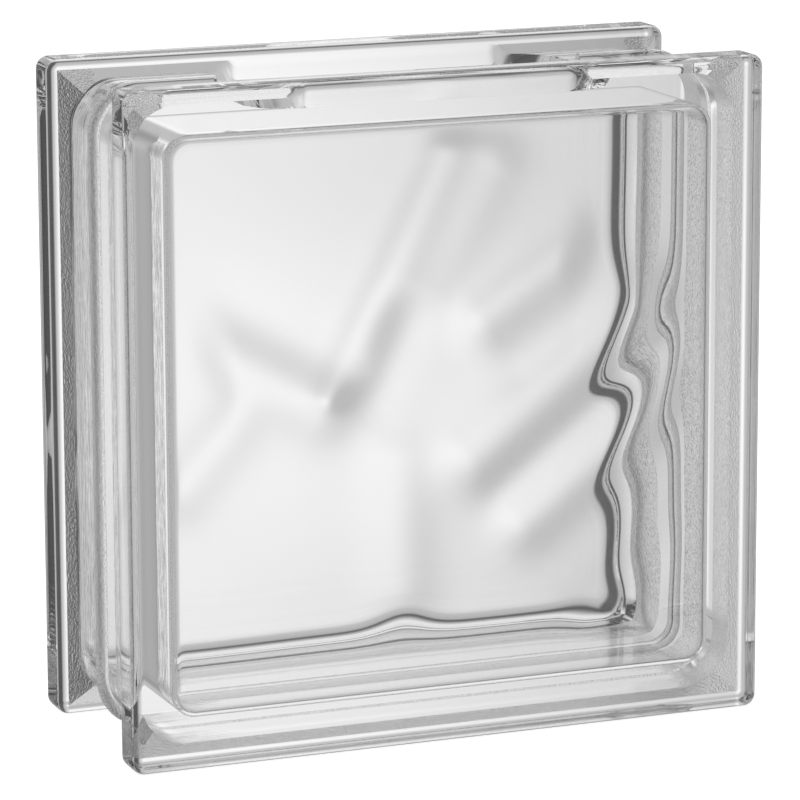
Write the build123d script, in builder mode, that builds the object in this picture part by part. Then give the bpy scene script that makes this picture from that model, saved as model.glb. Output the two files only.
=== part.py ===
"""Pressed hollow glass block with a wavy inner face on both plates, in millimetres.

The front face looks along -Y, +Z is up, and the origin is at the middle of the base.
"""

import os
from math import atan, degrees, exp, hypot

from build123d import *

# Block
SIZE = 190.0            # width and height over the flanges
DEPTH = 80.0            # front face to back face
FLANGE = 12.8           # thickness of the flange round each face
FLANGE_CORNER = 3.6     # corner radius of a flange, seen from the front
FLANGE_EDGE = 2.6       # rounding of the long flange edges

# Mortar channel between the flanges
CHANNEL = 5.5           # channel floor below the flange land
CHANNEL_CORNER = 13.0   # corner radius of the channel floor
SLOPE_TOP = 2.9         # where the sloped channel wall leaves the flange, below the land
SLOPE_RUN = 1.8         # length of the sloped wall along the depth
BEAD = 2.6              # crest of the fused seam below the flange land
BEAD_WIDTH = 3.4        # width of the seam
BEAD_CORNER = 15.0      # corner radius of the seam
BEAD_EDGE = 1.1         # bevel of the seam's crest

# Grip pocket in the middle of the top channel
POCKET_LENGTH = 108.0
POCKET_WIDTH = 52.4
POCKET_CORNER = 16.0
POCKET_DEPTH = 3.0      # below the channel floor
POCKET_TAPER = 8.0      # slope of the pocket wall, in degrees

# Sealed cavity
RIM = 13.5              # border of solid glass round the cavity
PLATE = 8.6             # face plate at the flat margin of its inner face
CAVITY_CORNER = 7.0     # corner radius of the cavity, seen from the front
FRONT_EDGE = 2.4        # rounding between the front plate and the side walls
BACK_EDGE = 4.0         # rounding between the back plate and the side walls

# Wave relief pressed into the inner face of each plate
WAVE_MEAN = 0.4         # depth of the relief between its folds
WAVE_LIFT = 0.2         # how far the relief's border rises past the flat margin
WAVE_FADE = 15.0        # distance over which the relief fades out at its border
WAVE_CELLS = 26         # cells of the wave surface along each side

# Folds of the relief: start x and z, end x and z from the plate's centre, half width, height
FRONT_FOLDS = [
    (-74, 38, -30, 14, 8, 0.35),
    (-92, 34, -38, 3, 10, -1.35),
    (16, -25, 66, 13, 7, 0.35),
    (8, -14, 58, 24, 12, -1.7),
    (24, -35, 74, 3, 9, -1.2),
    (44, -62, 74, -42, 9, 0.35),
    (-14, -15, -14, -50, 10, -0.9),
]
BACK_FOLDS = [
    (3, -11, 37, 56, 7, 0.35),
    (-7, -6, 27, 61, 8, -1.3),
    (20, 23, 40, 57, 9, -1.1),
    (39, 11, 71, 32, 9, -1.3),
    (47, -1, 79, 20, 8, 0.35),
    (-56, -32, -42, -16, 9, -1.0),
]

half = DEPTH / 2
middle = SIZE / 2
cavity_size = SIZE - 2 * RIM
field = cavity_size - 2 * BACK_EDGE - 0.6 * (CAVITY_CORNER - BACK_EDGE)


def fold_height(x, z, fold):
    """Height of one soft fold at a point of the plate."""
    x0, z0, x1, z1, width, height = fold
    dx, dz = x1 - x0, z1 - z0
    along = min(1.0, max(0.0, ((x - x0) * dx + (z - z0) * dz) / (dx * dx + dz * dz)))
    away = hypot(x - x0 - along * dx, z - z0 - along * dz)
    return height * exp(-((away / width) ** 2))


def fade(away):
    """Share of the relief that is left at a distance from one of the plate's centre lines."""
    inside = min(1.0, max(0.0, (field / 2 - abs(away)) / WAVE_FADE))
    return inside * inside * (3 - 2 * inside)


def wave_depth(x, z, folds):
    """Depth of the relief in a plate at a point measured from the plate's centre."""
    full = WAVE_LIFT + WAVE_MEAN - sum(fold_height(x, z, fold) for fold in folds)
    return fade(x) * fade(z) * full - WAVE_LIFT


def wave_face(side, folds):
    """Wavy end face of the cavity; side is 1 for the back plate and -1 for the front plate."""
    steps = [field * (i / WAVE_CELLS - 0.5) for i in range(WAVE_CELLS + 1)]
    level = half - PLATE
    rows = [[Vector(x, side * (level + wave_depth(x, z, folds)), z + middle) for z in steps] for x in steps]
    return Face.make_surface_from_array_of_points(rows, tol=0.03, min_deg=3, max_deg=3)


# Flanges: one slab with rounded edges behind each face
with BuildPart() as flanges:
    with BuildSketch(Plane.XZ.offset(half)):
        with Locations((0, middle)):
            RectangleRounded(SIZE, SIZE, FLANGE_CORNER)
    extrude(amount=-FLANGE)
    rims = faces().sort_by(Axis.Y)
    fillet(rims[0].edges() + rims[-1].edges(), FLANGE_EDGE)
    mirror(about=Plane.XZ)

# Walls: the recessed body between the flanges, with sloped walls that meet in mitred corners
with BuildPart() as walls:
    floor_size = SIZE - 2 * CHANNEL
    with BuildSketch(Plane.XZ.offset(half - FLANGE / 2)):
        with Locations((0, middle)):
            RectangleRounded(floor_size, floor_size, CHANNEL_CORNER)
    extrude(amount=FLANGE - DEPTH)
    slope_size = SIZE - 2 * SLOPE_TOP
    with BuildSketch(Plane.XZ.offset(half - FLANGE)):
        with Locations((0, middle)):
            Rectangle(slope_size, slope_size)
    fall = CHANNEL - SLOPE_TOP
    reach = 1 + 0.35 * CHANNEL_CORNER / fall
    extrude(amount=-SLOPE_RUN * reach, taper=degrees(atan(fall / SLOPE_RUN)))
    mirror(about=Plane.XZ)

with BuildPart() as seam:
    bead_size = SIZE - 2 * BEAD
    with BuildSketch(Plane.XZ):
        with Locations((0, middle)):
            RectangleRounded(bead_size, bead_size, BEAD_CORNER)
    extrude(amount=BEAD_WIDTH / 2, both=True)
    ends = faces().sort_by(Axis.Y)
    chamfer(ends[0].edges() + ends[-1].edges(), BEAD_EDGE)

# Grip pocket, open at the top
with BuildPart() as pocket:
    with BuildSketch(Plane.XY.offset(SIZE - CHANNEL - POCKET_DEPTH)):
        RectangleRounded(POCKET_LENGTH, POCKET_WIDTH, POCKET_CORNER)
    extrude(amount=POCKET_DEPTH + CHANNEL, taper=-POCKET_TAPER)

# Sealed cavity: a rounded box with the wave relief at both ends
with BuildPart() as cavity:
    with BuildSketch(Plane.XZ):
        with Locations((0, middle)):
            RectangleRounded(cavity_size, cavity_size, CAVITY_CORNER)
    extrude(amount=half - PLATE, both=True)
    ends = faces().sort_by(Axis.Y)
    fillet(ends[0].edges(), FRONT_EDGE)
    fillet(faces().sort_by(Axis.Y)[-1].edges(), BACK_EDGE)
    extrude(wave_face(1, BACK_FOLDS), amount=half / 2, dir=(0, -1, 0))
    extrude(wave_face(-1, FRONT_FOLDS), amount=half / 2, dir=(0, 1, 0))

# Glass block: both pressed halves fused into one closed piece of glass
with BuildPart() as glass_block:
    add(flanges.part)
    add(walls.part)
    add(seam.part)
    add(pocket.part, mode=Mode.SUBTRACT)
    add(cavity.part, mode=Mode.SUBTRACT)
glass_block.part.label = "glass_block"

os.makedirs("parts", exist_ok=True)
export_step(glass_block.part, "parts/glass_block.step")
print("volume in litres", round(glass_block.part.volume / 1e6, 4))
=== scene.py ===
"""Clear hollow glass block on a pale studio floor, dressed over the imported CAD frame.

The frame is in metres, +Z up, with the front face towards -Y and the origin at the middle of the base.
Sizes in the classes below are in millimetres and follow the part's source, and angles are in degrees.
"""

from __future__ import annotations

import logging
import math
from dataclasses import dataclass, field
from enum import Enum
from typing import Iterable

import bmesh
import bpy
from mathutils import Euler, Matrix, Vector

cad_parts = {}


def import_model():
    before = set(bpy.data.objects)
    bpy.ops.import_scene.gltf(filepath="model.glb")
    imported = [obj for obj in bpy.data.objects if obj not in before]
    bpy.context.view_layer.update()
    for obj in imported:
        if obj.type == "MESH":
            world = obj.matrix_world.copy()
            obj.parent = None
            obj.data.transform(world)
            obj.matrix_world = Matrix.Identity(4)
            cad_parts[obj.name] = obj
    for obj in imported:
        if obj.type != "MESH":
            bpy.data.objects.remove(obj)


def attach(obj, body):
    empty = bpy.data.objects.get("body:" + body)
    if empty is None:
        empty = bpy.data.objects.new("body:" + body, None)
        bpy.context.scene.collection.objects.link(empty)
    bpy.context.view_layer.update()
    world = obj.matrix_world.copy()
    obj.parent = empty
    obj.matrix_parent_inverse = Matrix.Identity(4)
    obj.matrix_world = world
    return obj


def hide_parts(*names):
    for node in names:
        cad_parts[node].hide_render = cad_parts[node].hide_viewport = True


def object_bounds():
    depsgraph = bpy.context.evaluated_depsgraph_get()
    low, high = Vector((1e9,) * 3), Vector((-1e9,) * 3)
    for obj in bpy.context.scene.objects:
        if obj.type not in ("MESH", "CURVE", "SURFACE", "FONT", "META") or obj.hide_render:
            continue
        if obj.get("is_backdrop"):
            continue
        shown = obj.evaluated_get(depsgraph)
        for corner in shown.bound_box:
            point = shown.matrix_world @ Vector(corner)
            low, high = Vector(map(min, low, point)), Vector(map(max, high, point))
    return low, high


LOG = logging.getLogger("glass_block")
MM = 0.001

Point = tuple[float, float, float]
Ring = list[Point]
Span = tuple[float, float]
Stops = tuple[Span, ...]
Socket = bpy.types.NodeSocket


class Side(Enum):
    """Which of the two pressed halves a surface belongs to."""

    FRONT = -1
    BACK = 1


class Finish(Enum):
    """Material slots of the block's mesh."""

    POLISHED = 0
    STIPPLED = 1
    FROSTED = 2


@dataclass(frozen=True)
class Wiring:
    """Adds linked nodes to a node tree.

    Args:
        tree: the node tree.
    """

    tree: bpy.types.NodeTree

    def add(self, kind: str, inputs: dict[str | int, object], **options: object) -> bpy.types.Node:
        """Add a node.

        Args:
            kind: type of the node.
            inputs: a plain value or another node's output for each input that is set.
            options: settings of the node.

        Returns:
            The new node.
        """
        node = self.tree.nodes.new(kind)
        for name, option in options.items():
            setattr(node, name, option)
        for key, value in inputs.items():
            if isinstance(value, Socket):
                self.tree.links.new(value, node.inputs[key])
            else:
                node.inputs[key].default_value = value
        return node

    def maths(self, operation: str, *values: object) -> Socket:
        """Number worked out from plain values and other nodes' outputs."""
        return self.add("ShaderNodeMath", dict(enumerate(values)), operation=operation).outputs[0]

    def blend(self, share: Socket, first: Socket, second: Socket) -> Socket:
        """Mix of two numbers, with the given share of the second."""
        return self.maths("MULTIPLY_ADD", share, self.maths("SUBTRACT", second, first), first)

    def step(self, value: Socket, limits: Span, ends: Span = (0.0, 1.0)) -> Socket:
        """Change smoothly from one number to another.

        Args:
            value: what the change follows.
            limits: values at which the change begins and is done.
            ends: the numbers before and after the change.

        Returns:
            The changing number.
        """
        inputs = {"Value": value, "From Min": limits[0], "From Max": limits[1]}
        inputs |= {"To Min": ends[0], "To Max": ends[1]}
        return self.add("ShaderNodeMapRange", inputs, interpolation_type="SMOOTHSTEP").outputs["Result"]

    def fade(self, angle: Socket, limits: Span) -> Socket:
        """Number that falls from 1 to 0 as an angle in radians passes limits in degrees."""
        return self.step(angle, (math.radians(limits[0]), math.radians(limits[1])), (1.0, 0.0))

    def ramp(self, angle: Socket, stops: Stops) -> Socket:
        """Follow a row of levels.

        Args:
            angle: the angle in radians, at most a quarter turn.
            stops: angles in degrees with the level at each.

        Returns:
            The level at the angle.
        """
        node = self.add("ShaderNodeValToRGB", {"Fac": self.maths("DIVIDE", angle, math.pi / 2)})
        node.color_ramp.interpolation = "EASE"
        elements = node.color_ramp.elements
        elements.remove(elements[1])
        for i, (place, level) in enumerate(stops):
            stop = elements[0] if i == 0 else elements.new(place / 90)
            stop.position, stop.color = place / 90, (level, level, level, 1.0)
        return node.outputs["Color"]


@dataclass(frozen=True)
class MouldStipple:
    """Node group with the height of the mould's stipple, which is drawn out on the block's left side.

    Args:
        name: name of the group.
        change: places along the width where the drawn-out stipple begins and ends to give way.
    """

    name: str = "mould_stipple"
    change: Span = (-40.0, 40.0)

    def group(self) -> bpy.types.NodeTree:
        """The group, built when it is first asked for.

        Returns:
            The node group, with inputs Place, Scale and Draw and output Height.
        """
        made = bpy.data.node_groups.get(self.name)
        if made:
            return made
        tree = bpy.data.node_groups.new(self.name, "ShaderNodeTree")
        for name, kind in (("Place", "Vector"), ("Scale", "Float"), ("Draw", "Vector")):
            tree.interface.new_socket(name, in_out="INPUT", socket_type="NodeSocket" + kind)
        tree.interface.new_socket("Height", in_out="OUTPUT", socket_type="NodeSocketFloat")
        wiring = Wiring(tree)
        place, scale, draw = wiring.add("NodeGroupInput", {}).outputs[:3]
        across = wiring.add("ShaderNodeSeparateXYZ", {0: place}).outputs["X"]
        share = wiring.step(across, (self.change[0] * MM, self.change[1] * MM))
        drawn = wiring.add("ShaderNodeVectorMath", {0: place, 1: draw}, operation="MULTIPLY").outputs[0]
        streaks, grains = (
            wiring.add("ShaderNodeTexNoise", {"Vector": vector, "Scale": scale}).outputs["Fac"]
            for vector in (drawn, place)
        )
        height = wiring.add("ShaderNodeMix", {"Factor": share, "A": streaks, "B": grains}).outputs["Result"]
        wiring.add("NodeGroupOutput", {"Height": height})
        return tree


@dataclass(frozen=True)
class GlassFinish:
    """Procedural clear glass.

    Args:
        name: name of the material.
        colour: linear colour of the glass.
        roughness: roughness of the surface.
        middle: roughness in the middle of the block's width, where no stipple is, if it differs there.
        calm: distances from the middle of the width where the middle's look begins and ends to give way.
        ior: index of refraction.
        stipple: height of the mould's stipple.
        grain: size of the stipple.
        stretch: how much longer the drawn-out stipple is along the edges than across them.
    """

    name: str
    colour: Point = (0.97, 0.97, 0.97)
    roughness: float = 0.0
    middle: float | None = None
    calm: Span = (55.0, 88.0)
    ior: float = 1.5
    stipple: float = 0.0
    grain: float = 1.0
    stretch: float = 1.0

    def build(self) -> bpy.types.Material:
        """Make the material.

        Returns:
            The new glass material.
        """
        material = bpy.data.materials.new(self.name)
        material.use_nodes = True
        tree = material.node_tree
        shader = tree.nodes["Principled BSDF"]
        shader.inputs["Base Color"].default_value = (*self.colour, 1.0)
        shader.inputs["Metallic"].default_value = 0.0
        shader.inputs["Roughness"].default_value = self.roughness
        shader.inputs["IOR"].default_value = self.ior
        shader.inputs["Transmission Weight"].default_value = 1.0
        if self.stipple == 0.0:
            return material
        wiring = Wiring(tree)
        place = wiring.add("ShaderNodeTexCoord", {}).outputs["Object"]
        strength: Socket | float = 1.0
        if self.middle is not None:
            across = wiring.add("ShaderNodeSeparateXYZ", {0: place}).outputs["X"]
            aside = wiring.maths("ABSOLUTE", across)
            limits = (self.calm[0] * MM, self.calm[1] * MM)
            strength = wiring.step(aside, limits)
            rough = wiring.step(aside, limits, (self.middle, self.roughness))
            tree.links.new(rough, shader.inputs["Roughness"])
        draw = (1 / self.stretch, 1.0, 1 / self.stretch)
        inputs = {"Place": place, "Scale": 1 / (self.grain * MM), "Draw": draw}
        height = wiring.add("ShaderNodeGroup", inputs, node_tree=MouldStipple().group()).outputs["Height"]
        inputs = {"Strength": strength, "Distance": self.stipple * MM, "Height": height}
        normal = wiring.add("ShaderNodeBump", inputs).outputs["Normal"]
        tree.links.new(normal, shader.inputs["Normal"])
        return material


@dataclass(frozen=True)
class Fold:
    """One soft fold of the wave relief, measured from the plate's centre.

    Args:
        start: sideways and upward place of one end.
        end: sideways and upward place of the other end.
        width: half width.
        height: height.
    """

    start: Span
    end: Span
    width: float
    height: float

    def at(self, x: float, z: float) -> float:
        """Height of the fold.

        Args:
            x: sideways distance from the plate's centre.
            z: upward distance from the plate's centre.

        Returns:
            How far the fold rises there.
        """
        dx, dz = self.end[0] - self.start[0], self.end[1] - self.start[1]
        px, pz = x - self.start[0], z - self.start[1]
        along = min(1.0, max(0.0, (px * dx + pz * dz) / (dx * dx + dz * dz)))
        away = math.hypot(px - along * dx, pz - along * dz)
        return self.height * math.exp(-((away / self.width) ** 2))


FRONT_FOLDS = (
    Fold((-74, 38), (-30, 14), 8, 0.35),
    Fold((-92, 34), (-38, 3), 10, -1.35),
    Fold((16, -25), (66, 13), 7, 0.35),
    Fold((8, -14), (58, 24), 12, -1.7),
    Fold((24, -35), (74, 3), 9, -1.2),
    Fold((44, -62), (74, -42), 9, 0.35),
    Fold((-14, -15), (-14, -50), 10, -0.9),
)
BACK_FOLDS = (
    Fold((3, -11), (37, 56), 7, 0.35),
    Fold((-7, -6), (27, 61), 8, -1.3),
    Fold((20, 23), (40, 57), 9, -1.1),
    Fold((39, 11), (71, 32), 9, -1.3),
    Fold((47, -1), (79, 20), 8, 0.35),
    Fold((-56, -32), (-42, -16), 9, -1.0),
)


@dataclass(frozen=True)
class WaveRelief:
    """Soft waves pressed into the inner face of a plate.

    Args:
        folds: the folds of the plate.
        span: side of the square that carries the waves.
        mean: depth between the folds.
        fade: distance over which the folds fade out at the border.
        spread: distance over which the mean depth is reached.
    """

    folds: tuple[Fold, ...]
    span: float = 153.2
    mean: float = 0.4
    fade: float = 15.0
    spread: float = 45.0

    def share(self, away: float, reach: float) -> float:
        """Share of the relief at a distance from a centre line, all of it at the reach from the border."""
        inside = min(1.0, max(0.0, (self.span / 2 - abs(away)) / reach))
        return inside * inside * (3 - 2 * inside)

    def depth(self, x: float, z: float) -> float:
        """Depth of the relief.

        Args:
            x: sideways distance from the plate's centre.
            z: upward distance from the plate's centre.

        Returns:
            How far the face lies below the flat margin.
        """
        folds = sum(fold.at(x, z) for fold in self.folds)
        level = self.mean * self.share(x, self.spread) * self.share(z, self.spread)
        return level - folds * self.share(x, self.fade) * self.share(z, self.fade)


@dataclass(frozen=True)
class GripPocket:
    """Shallow pocket in the middle of the top channel.

    Args:
        length: length of its floor along X.
        width: width of its floor along Y.
        corner: corner radius of its floor.
        floor: height of its floor above the base.
        taper: slope of its wall from the upright.
    """

    length: float = 108.0
    width: float = 52.4
    corner: float = 16.0
    floor: float = 181.5
    taper: float = 8.0

    def lower(self, point: Point) -> Point:
        """Lower a point of the channel into the pocket.

        Args:
            point: a point of the channel.

        Returns:
            The point, lowered where the pocket is.
        """
        x, y, z = point
        dx = abs(x) - self.length / 2 + self.corner
        dy = abs(y) - self.width / 2 + self.corner
        outside = math.hypot(max(dx, 0.0), max(dy, 0.0)) + min(max(dx, dy), 0.0) - self.corner
        wall = max(outside, 0.0) / math.tan(math.radians(self.taper))
        return (x, y, min(z, self.floor + wall))


@dataclass
class BlockMesh:
    """Fine mesh of the block: an outer skin and the skin of the cavity, each drawn through rounded squares.

    Args:
        size: width and height.
        depth: front face to back face.
        flange: thickness of each flange.
        flange_corner: corner radius of a flange.
        flange_edge: rounding of the long flange edges.
        flange_margin: flat strip beside the rounding on each face.
        channel: depth of the mortar channel.
        channel_corner: corner radius of the channel's floor.
        slope_top: depth at which the channel's sloped wall starts.
        slope_run: length of the sloped wall along the depth.
        bead: depth of the seam's crest.
        bead_width: width of the seam.
        bead_corner: corner radius of the seam.
        bead_foot: strip of the channel's floor beside the seam.
        bead_gap: half of the flat on the seam's crest.
        rim: border of solid glass round the cavity.
        plate: thickness of a face plate at its flat margin.
        cavity_corner: corner radius of the cavity.
        front_edge: rounding between the front plate and the walls.
        back_edge: rounding between the back plate and the walls.
        plain: half length of the polished stretch of the top channel's walls.
        sharp: angle between faces from which an edge is sharp.
        straight: cells along each straight side.
        corner: cells round each corner.
        edge_cells: cells round a flange edge.
        slope_steps: places of the points down the sloped wall, from 0 to 1.
        floor_cells: cells from the sloped wall to the seam.
        floor_crowd: power by which they crowd at the sloped wall.
        calm_cells: how many of them are polished, beside the seam.
        bead_cells: cells up one side of the seam.
        plate_cells: cells from the centre of a wavy face to its border.
        cavity_cells: cells round an edge of the cavity.
        wall_cells: cells along the cavity's walls.
        pocket_crowd: how far points crowd inside and outside the pocket's ends.
        pocket_shares: share of a side's cells in each of its five stretches.
        front: the relief of the front plate.
        back: the relief of the back plate.
        pocket: the pocket in the top channel.
    """

    size: float = 190.0
    depth: float = 80.0
    flange: float = 12.8
    flange_corner: float = 3.6
    flange_edge: float = 2.6
    flange_margin: float = 0.6
    channel: float = 5.5
    channel_corner: float = 13.0
    slope_top: float = 2.9
    slope_run: float = 1.8
    bead: float = 2.6
    bead_width: float = 3.4
    bead_corner: float = 15.0
    bead_foot: float = 0.3
    bead_gap: float = 0.02
    rim: float = 13.5
    plate: float = 8.6
    cavity_corner: float = 7.0
    front_edge: float = 2.4
    back_edge: float = 4.0
    plain: float = 82.0
    sharp: float = 32.0
    straight: int = 80
    corner: int = 12
    edge_cells: int = 7
    slope_steps: tuple[float, ...] = (0.0, 0.3, 0.6, 0.85, 1.0)
    floor_cells: int = 20
    floor_crowd: float = 1.5
    calm_cells: int = 4
    bead_cells: int = 6
    plate_cells: int = 60
    cavity_cells: int = 8
    wall_cells: int = 10
    pocket_crowd: Span = (17.0, 7.0)
    pocket_shares: tuple[float, ...] = (0.1, 0.3, 0.2, 0.3, 0.1)
    front: WaveRelief = field(default_factory=lambda: WaveRelief(FRONT_FOLDS))
    back: WaveRelief = field(default_factory=lambda: WaveRelief(BACK_FOLDS))
    pocket: GripPocket = field(default_factory=GripPocket)

    def stations(self, flat: float, fine: bool) -> list[float]:
        """Places of the points along a straight side.

        Args:
            flat: half length of the side.
            fine: whether they crowd at the ends of the pocket.

        Returns:
            The places, without the end of the side.
        """
        if not fine:
            return [-flat + 2 * flat * i / self.straight for i in range(self.straight)]
        end = self.pocket.length / 2
        close, far = end - self.pocket_crowd[0], end + self.pocket_crowd[1]
        stops = [-flat, -far, -close, close, far, flat]
        places: list[float] = []
        for a, b, share in zip(stops, stops[1:], self.pocket_shares):
            cells = round(share * self.straight)
            places += [a + (b - a) * i / cells for i in range(cells)]
        return places

    def square(self, half: float, radius: float, fine: bool = False) -> list[Span]:
        """Points of a rounded square, all squares with the same count.

        Args:
            half: half of the square's side.
            radius: corner radius.
            fine: whether the points crowd at the ends of the pocket.

        Returns:
            The (x, z) points, anticlockwise as seen from the front.
        """
        points: list[Span] = []
        flat = half - radius
        for turn in range(4):
            c, s = math.cos(turn * math.pi / 2), math.sin(turn * math.pi / 2)
            side = [(x, -half) for x in self.stations(flat, fine)]
            for i in range(self.corner):
                a = math.pi / 2 * i / self.corner
                side.append((flat + radius * math.sin(a), -flat - radius * math.cos(a)))
            points += [(x * c - z * s, x * s + z * c) for x, z in side]
        return points

    def ring(self, y: float, half: float, radius: float, fine: bool = False) -> Ring:
        """Points of a rounded square in the frame, at depth y."""
        return [(x, y, z + self.size / 2) for x, z in self.square(half, radius, fine)]

    def flange_rings(self) -> list[Ring]:
        """Rings of the front flange, from its face round both edges to the start of the sloped wall.

        Returns:
            The rings.
        """
        half, top, edge = self.depth / 2, self.size / 2, self.flange_edge
        rings = [self.ring(-half, top - edge - self.flange_margin, self.flange_corner - edge, True)]
        turns = [math.pi / 2 * i / self.edge_cells for i in range(self.edge_cells + 1)]
        for turn in turns:
            drop, along = edge * (1 - math.sin(turn)), edge * (1 - math.cos(turn))
            rings.append(self.ring(along - half, top - drop, self.flange_corner - drop, True))
        for turn in turns:
            drop, along = edge * (1 - math.cos(turn)), edge * (1 - math.sin(turn))
            rings.append(self.ring(self.flange - half - along, top - drop, self.flange_corner - drop, True))
        return rings

    def slope_rings(self) -> list[Ring]:
        """Rings of the front flange's sloped wall, from its mitred top edge down to the channel floor.

        Returns:
            The rings.
        """
        top, back = self.size / 2, self.flange - self.depth / 2
        slope = self.slope_run / (self.channel - self.slope_top)
        foot = self.square(top - self.channel, self.channel_corner, True)
        rings: list[Ring] = []
        for f in self.slope_steps:
            ring: Ring = []
            for x, z in foot:
                reach = max(abs(x), abs(z))
                scale = (1 - f) * (top - self.slope_top) / reach + f
                drop = top - reach * scale - self.slope_top
                ring.append((x * scale, back + slope * drop, z * scale + top))
            rings.append(ring)
        return rings

    def floor_rings(self, start: Ring) -> list[Ring]:
        """Rings of the front half of the channel's floor and of the seam.

        Args:
            start: the foot of the sloped wall.

        Returns:
            The rings, without the foot of the sloped wall.
        """
        top, foot = self.size / 2, -self.bead_width / 2
        rings: list[Ring] = []
        for i in range(1, self.floor_cells + 1):
            f = (i / self.floor_cells) ** self.floor_crowd
            rings.append([(x, y + (foot - self.bead_foot - y) * f, z) for x, y, z in start])
        for i in range(self.bead_cells + 1):
            turn = math.pi / 2 * i / self.bead_cells
            lift = (self.channel - self.bead) * math.sin(turn)
            radius = self.channel_corner + (self.bead_corner - self.channel_corner) * math.sin(turn)
            y = foot * math.cos(turn) - self.bead_gap
            rings.append(self.ring(y, top - self.channel + lift, radius, True))
        return rings

    def outside(self) -> tuple[list[Ring], list[Finish]]:
        """Rings of the outer skin from the front face to the back face.

        Returns:
            The rings, and the finish of the strip behind each of them.
        """
        flange, slope = self.flange_rings(), self.slope_rings()
        channel = slope + self.floor_rings(slope[-1])
        rings = flange + [[self.pocket.lower(point) for point in ring] for ring in channel]
        finishes = [Finish.POLISHED] * len(flange) + [Finish.STIPPLED] * (len(slope) - 1)
        finishes += [Finish.FROSTED] * (self.floor_cells - self.calm_cells)
        finishes += [Finish.POLISHED] * self.calm_cells
        finishes += [Finish.STIPPLED] * (len(rings) - len(finishes))
        back = [[(x, -y, z) for x, y, z in ring] for ring in reversed(rings)]
        return rings + back, finishes + finishes[-2::-1]

    def plate_rings(self, side: Side) -> list[Ring]:
        """Rings of the wavy inner face of a plate, from its centre to its border.

        Args:
            side: which plate.

        Returns:
            The rings.
        """
        edge, waves = (self.front_edge, self.front) if side is Side.FRONT else (self.back_edge, self.back)
        border = self.size / 2 - self.rim - edge
        level = self.depth / 2 - self.plate
        rings: list[Ring] = []
        for i in range(1, self.plate_cells + 1):
            share = i / self.plate_cells
            flat = self.square(border * share, (self.cavity_corner - edge) * share)
            rings.append(
                [(x, side.value * (level + waves.depth(x, z)), z + self.size / 2) for x, z in flat]
            )
        return rings

    def edge_rings(self, side: Side) -> list[Ring]:
        """Rings of the rounding between a plate and the cavity's walls, from the plate to the walls.

        Args:
            side: which plate.

        Returns:
            The rings, without the border of the plate.
        """
        edge = self.front_edge if side is Side.FRONT else self.back_edge
        half, level = self.size / 2 - self.rim, self.depth / 2 - self.plate
        rings: list[Ring] = []
        for i in range(1, self.cavity_cells + 1):
            turn = math.pi / 2 * i / self.cavity_cells
            drop, along = edge * (1 - math.sin(turn)), edge * (1 - math.cos(turn))
            rings.append(self.ring(side.value * (level - along), half - drop, self.cavity_corner - drop))
        return rings

    def inside(self) -> list[Ring]:
        """Rings of the cavity from the centre of the front plate to the centre of the back plate.

        Returns:
            The rings.
        """
        half, level = self.size / 2 - self.rim, self.depth / 2 - self.plate
        front, back = ([*self.plate_rings(side), *self.edge_rings(side)] for side in Side)
        start, stop = self.front_edge - level, level - self.back_edge
        walls = [
            self.ring(start + (stop - start) * i / self.wall_cells, half, self.cavity_corner)
            for i in range(1, self.wall_cells)
        ]
        return front + walls + back[::-1]

    def finish_at(self, centre: Vector, finish: Finish) -> Finish:
        """Finish of a face, which is polished in the top channel away from its corners.

        Args:
            centre: centre of the face in metres.
            finish: finish of the strip that the face is in.

        Returns:
            The finish of the face.
        """
        x, z = abs(centre.x) / MM, centre.z / MM - self.size / 2
        cornered = finish is Finish.STIPPLED and x > self.plain
        return finish if z < x or cornered else Finish.POLISHED

    def draw(
        self, mesh: bmesh.types.BMesh, rings: list[Ring], finishes: list[Finish], outward: bool
    ) -> None:
        """Extrude a closed skin from ring to ring, with a flat cap at each end.

        Args:
            mesh: the mesh to add to.
            rings: the rings, front to back.
            finishes: finish of the strip behind each ring.
            outward: whether the faces look away from the middle of the skin.
        """
        # Drawn inside out and then turned, which sets along which diagonal a twisted cell folds
        row = [mesh.verts.new(Vector(point) * MM) for point in rings[0]]
        faces = [mesh.faces.new(row[::-1] if outward else row)]
        for ring, finish in zip(rings[1:], finishes):
            edges = [mesh.edges.get(pair) for pair in zip(row, row[1:] + row[:1])]
            made = bmesh.ops.extrude_edge_only(mesh, edges=edges)["geom"]
            ends = {part for part in made if isinstance(part, bmesh.types.BMVert)}
            row = [
                next(end for edge in vert.link_edges if (end := edge.other_vert(vert)) in ends)
                for vert in row
            ]
            for vert, point in zip(row, ring):
                vert.co = Vector(point) * MM
            strip = [part for part in made if isinstance(part, bmesh.types.BMFace)]
            for face in strip:
                face.material_index = self.finish_at(face.calc_center_median(), finish).value
            faces += strip
        faces.append(mesh.faces.new(row if outward else row[::-1]))
        bmesh.ops.reverse_faces(mesh, faces=faces)
        for face in faces:
            face.smooth = True

    def build(self, finishes: Iterable[GlassFinish]) -> bpy.types.Object:
        """Make the block's mesh object.

        Args:
            finishes: the material of each slot, in the order of Finish.

        Returns:
            The new object, placed in the frame.
        """
        mesh = bmesh.new()
        self.draw(mesh, *self.outside(), True)
        cavity = self.inside()
        self.draw(mesh, cavity, [Finish.POLISHED] * (len(cavity) - 1), False)
        data = bpy.data.meshes.new("glass_block_skin")
        mesh.to_mesh(data)
        mesh.free()
        data.set_sharp_from_angle(angle=math.radians(self.sharp))
        for finish in finishes:
            data.materials.append(finish.build())
        block = bpy.data.objects.new("glass_block_skin", data)
        bpy.context.collection.objects.link(block)
        LOG.info("glass_block_skin has %d faces", len(data.polygons))
        return block


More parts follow.
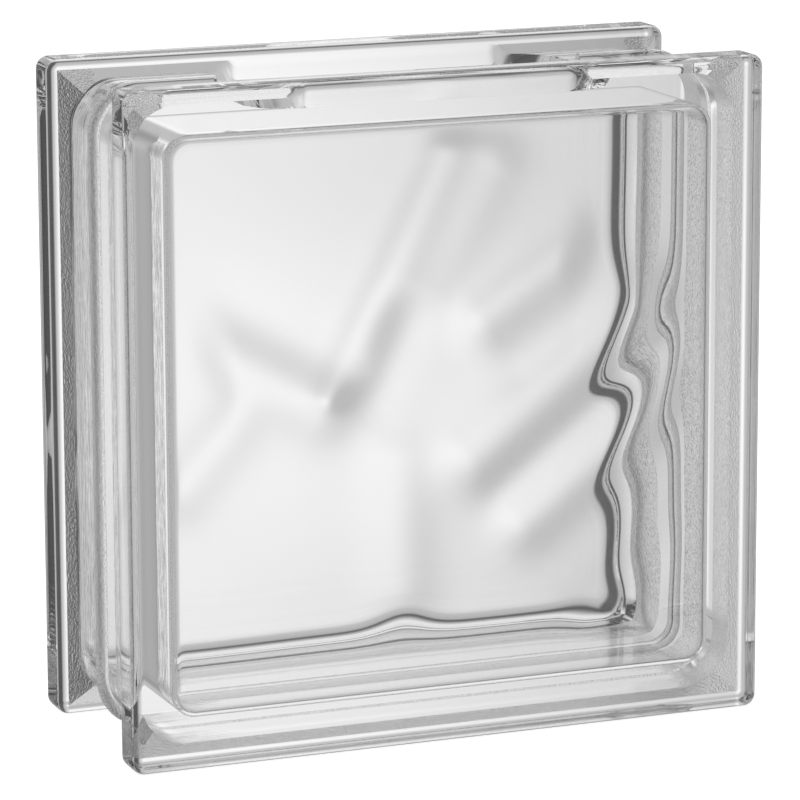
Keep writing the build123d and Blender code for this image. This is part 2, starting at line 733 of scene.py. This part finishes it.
@dataclass(frozen=True)
class Studio:
    """Pale floor, soft light and the surroundings that the glass shows.

    Args:
        floor_colour: linear colour of the floor.
        floor_fill: light that the floor adds for the camera, so that it reads as white.
        floor_reach: half of the floor's side.
        floor_gap: how far the floor lies below the block.
        axis: direction of the bright backdrop, 0 along Y and positive towards +X.
        tilt: slope of the line of sight.
        right: angle from the line of sight and level there, on its right side.
        left: the same on its left side.
        upright: the same above and below it.
        front: the same on the camera's side of the block.
        aside: angles to the left where the right side's levels begin and end to give way.
        beside: angles to a side where the upright levels begin and end to give way.
        behind: angles towards the camera where the levels behind the block begin and end to give way.
        table: angles below the horizon where the white table begins to show and does.
        table_level: level of the table.
        bright: brightness of a level of 1.
        lamp_power: power of the soft lamp in watts.
        lamp_size: width and length of the lamp.
        lamp_place: where the lamp hangs.
        lamp_aim: what the lamp points at.
        bounces: how often light may turn inside the glass.
    """

    floor_colour: float = 0.4
    floor_fill: float = 0.9
    floor_reach: float = 12000.0
    floor_gap: float = 0.2
    axis: float = 19.0
    tilt: float = 12.0
    right: Stops = ((0, 1.0), (11, 0.52), (20, 0.06), (35, 0.06), (47, 0.5))
    left: Stops = ((0, 1.0), (11, 0.54), (22, 0.5), (32, 0.3), (43, 0.5))
    upright: Stops = ((0, 1.0), (11, 0.52), (18, 0.46), (24, 0.06), (42, 0.06), (54, 0.5))
    front: Stops = ((0, 0.95), (45, 0.45), (90, 0.4))
    aside: Span = (0.0, 15.0)
    beside: Span = (6.0, 14.0)
    behind: Span = (-10.0, 10.0)
    table: Span = (32.0, 50.0)
    table_level: float = 0.9
    bright: float = 1.03
    lamp_power: float = 14.0
    lamp_size: Span = (1200.0, 800.0)
    lamp_place: Point = (-500.0, -300.0, 1300.0)
    lamp_aim: Point = (0.0, 0.0, 100.0)
    bounces: int = 10

    def floor_material(self) -> bpy.types.Material:
        """Make the floor's material, which takes shadows and reads as white to the camera.

        Returns:
            The new material.
        """
        material = bpy.data.materials.new("floor")
        material.use_nodes = True
        tree = material.node_tree
        tree.nodes.remove(tree.nodes["Principled BSDF"])
        wiring = Wiring(tree)
        path = wiring.add("ShaderNodeLightPath", {})
        power = wiring.maths("MULTIPLY", path.outputs["Is Camera Ray"], self.floor_fill)
        glow = wiring.add("ShaderNodeEmission", {"Strength": power}).outputs[0]
        colour = (self.floor_colour, self.floor_colour, self.floor_colour, 1.0)
        diffuse = wiring.add("ShaderNodeBsdfDiffuse", {"Color": colour}).outputs[0]
        both = wiring.add("ShaderNodeAddShader", {0: diffuse, 1: glow}).outputs[0]
        tree.links.new(both, tree.nodes["Material Output"].inputs["Surface"])
        return material

    def floor(self) -> None:
        """Lay the floor."""
        mesh = bmesh.new()
        bmesh.ops.create_grid(mesh, x_segments=1, y_segments=1, size=self.floor_reach * MM)
        data = bpy.data.meshes.new("floor")
        mesh.to_mesh(data)
        mesh.free()
        data.materials.append(self.floor_material())
        plane = bpy.data.objects.new("floor", data)
        plane.location.z = -self.floor_gap * MM
        plane.visible_transmission = False
        plane.visible_glossy = False
        bpy.context.collection.objects.link(plane)
        plane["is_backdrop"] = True
        LOG.info("floor laid")

    def surroundings(self) -> None:
        """Light the world with a bright backdrop behind the block, dim sides and a white table."""
        world = bpy.data.worlds.new("studio")
        bpy.context.scene.world = world
        world.use_nodes = True
        wiring = Wiring(world.node_tree)
        maths, fade, ramp = wiring.maths, wiring.fade, wiring.ramp
        place = wiring.add("ShaderNodeTexCoord", {}).outputs["Generated"]
        inputs = {"Vector": place, "Angle": math.radians(self.axis)}
        turned = wiring.add("ShaderNodeVectorRotate", inputs, rotation_type="Z_AXIS").outputs[0]
        x, y, z = wiring.add("ShaderNodeSeparateXYZ", {0: turned}).outputs

        # Angle between a direction and the line of sight, and angle to its side
        slope, depth = math.radians(self.tilt), maths("ABSOLUTE", y)
        sight = maths("MULTIPLY", depth, math.cos(slope))
        sight = maths("MULTIPLY_ADD", maths("ABSOLUTE", z), math.sin(slope), sight)
        off = maths("ARCCOSINE", maths("MINIMUM", sight, 1.0))
        sideways = maths("ARCTAN2", x, depth)

        # Levels round the line of sight, on the camera's side and of the table
        share = fade(maths("MULTIPLY", sideways, -1.0), self.aside)
        level = wiring.blend(share, ramp(off, self.left), ramp(off, self.right))
        share = fade(maths("ABSOLUTE", sideways), self.beside)
        level = wiring.blend(share, level, ramp(off, self.upright))
        share = fade(maths("MULTIPLY", y, -1.0), self.behind)
        level = wiring.blend(share, ramp(off, self.front), level)
        drop = maths("MULTIPLY", maths("ARCSINE", z), -1.0)
        table = maths("MULTIPLY", maths("SUBTRACT", 1.0, fade(drop, self.table)), self.table_level)
        level = maths("MULTIPLY", maths("MAXIMUM", level, table), self.bright)

        # White for the camera
        path = wiring.add("ShaderNodeLightPath", {})
        shown = maths("MAXIMUM", level, path.outputs["Is Camera Ray"])
        backdrop = world.node_tree.nodes["Background"]
        backdrop.inputs["Color"].default_value = (1.0, 1.0, 1.0, 1.0)
        world.node_tree.links.new(shown, backdrop.inputs["Strength"])
        LOG.info("surroundings lit")

    def lamp(self) -> None:
        """Hang the soft lamp that lights the floor."""
        light = bpy.data.lights.new("soft_lamp", "AREA")
        light.shape = "RECTANGLE"
        light.size, light.size_y = (side * MM for side in self.lamp_size)
        light.energy = self.lamp_power
        lamp = bpy.data.objects.new("soft_lamp", light)
        lamp.location = Vector(self.lamp_place) * MM
        aim = Vector(self.lamp_aim) * MM - lamp.location
        lamp.rotation_euler = aim.to_track_quat("-Z", "Y").to_euler()
        lamp.visible_glossy = False
        lamp.visible_transmission = False
        bpy.context.collection.objects.link(lamp)
        LOG.info("lamp hung")

    def build(self) -> None:
        """Set up the floor, the surroundings and the lamp."""
        self.floor()
        self.surroundings()
        self.lamp()
        light = bpy.context.scene.cycles
        light.max_bounces = light.glossy_bounces = light.transmission_bounces = self.bounces


@dataclass(frozen=True)
class Viewpoint:
    """Camera at the photograph's viewing angle.

    Args:
        azimuth: angle round the block, 0 in front of it and negative to its left.
        elevation: angle above the horizon.
        roll: turn of the picture.
        rise: how far the aim is turned up from the block's centre.
        distance: distance from the block's centre.
        lens: focal length.
        sensor: width of the sensor.
        clip: nearest and farthest distance that is seen.
    """

    azimuth: float = -21.816
    elevation: float = 11.875
    roll: float = -0.205
    rise: float = 0.181
    distance: float = 1371.791
    lens: float = 216.15
    sensor: float = 36.0
    clip: Span = (50.0, 60000.0)

    def build(self, centre: Vector) -> None:
        """Make the camera and set it as the scene's.

        Args:
            centre: middle of the block in metres.
        """
        data = bpy.data.cameras.new("camera")
        data.lens, data.sensor_width = self.lens, self.sensor
        data.clip_start, data.clip_end = (distance * MM for distance in self.clip)
        camera = bpy.data.objects.new("camera", data)
        a, e = math.radians(self.azimuth), math.radians(self.elevation)
        back = Vector((math.sin(a) * math.cos(e), -math.cos(a) * math.cos(e), math.sin(e)))
        camera.location = centre + back * self.distance * MM
        look = (-back).to_track_quat("-Z", "Y").to_matrix()
        tilt = Euler((math.radians(-self.rise), 0.0, math.radians(self.roll))).to_matrix()
        camera.rotation_euler = (look @ tilt).to_euler()
        bpy.context.collection.objects.link(camera)
        bpy.context.scene.camera = camera
        LOG.info("camera set")


def main() -> None:
    """Build the whole scene over the CAD frame."""
    logging.basicConfig(level=logging.INFO)
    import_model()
    cad_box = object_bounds()
    block = BlockMesh().build(
        [
            GlassFinish("glass"),
            GlassFinish("stippled_glass", roughness=0.15, stipple=0.25, grain=0.5),
            GlassFinish("frosted_glass", roughness=0.1, middle=0.06, stipple=0.17, grain=0.9, stretch=14),
        ]
    )
    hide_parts("glass_block")
    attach(block, "root")
    Studio().build()
    low, high = cad_box
    Viewpoint().build((low + high) / 2)
    bpy.context.scene.view_settings.view_transform = "Standard"


if __name__ == "__main__":
    main()
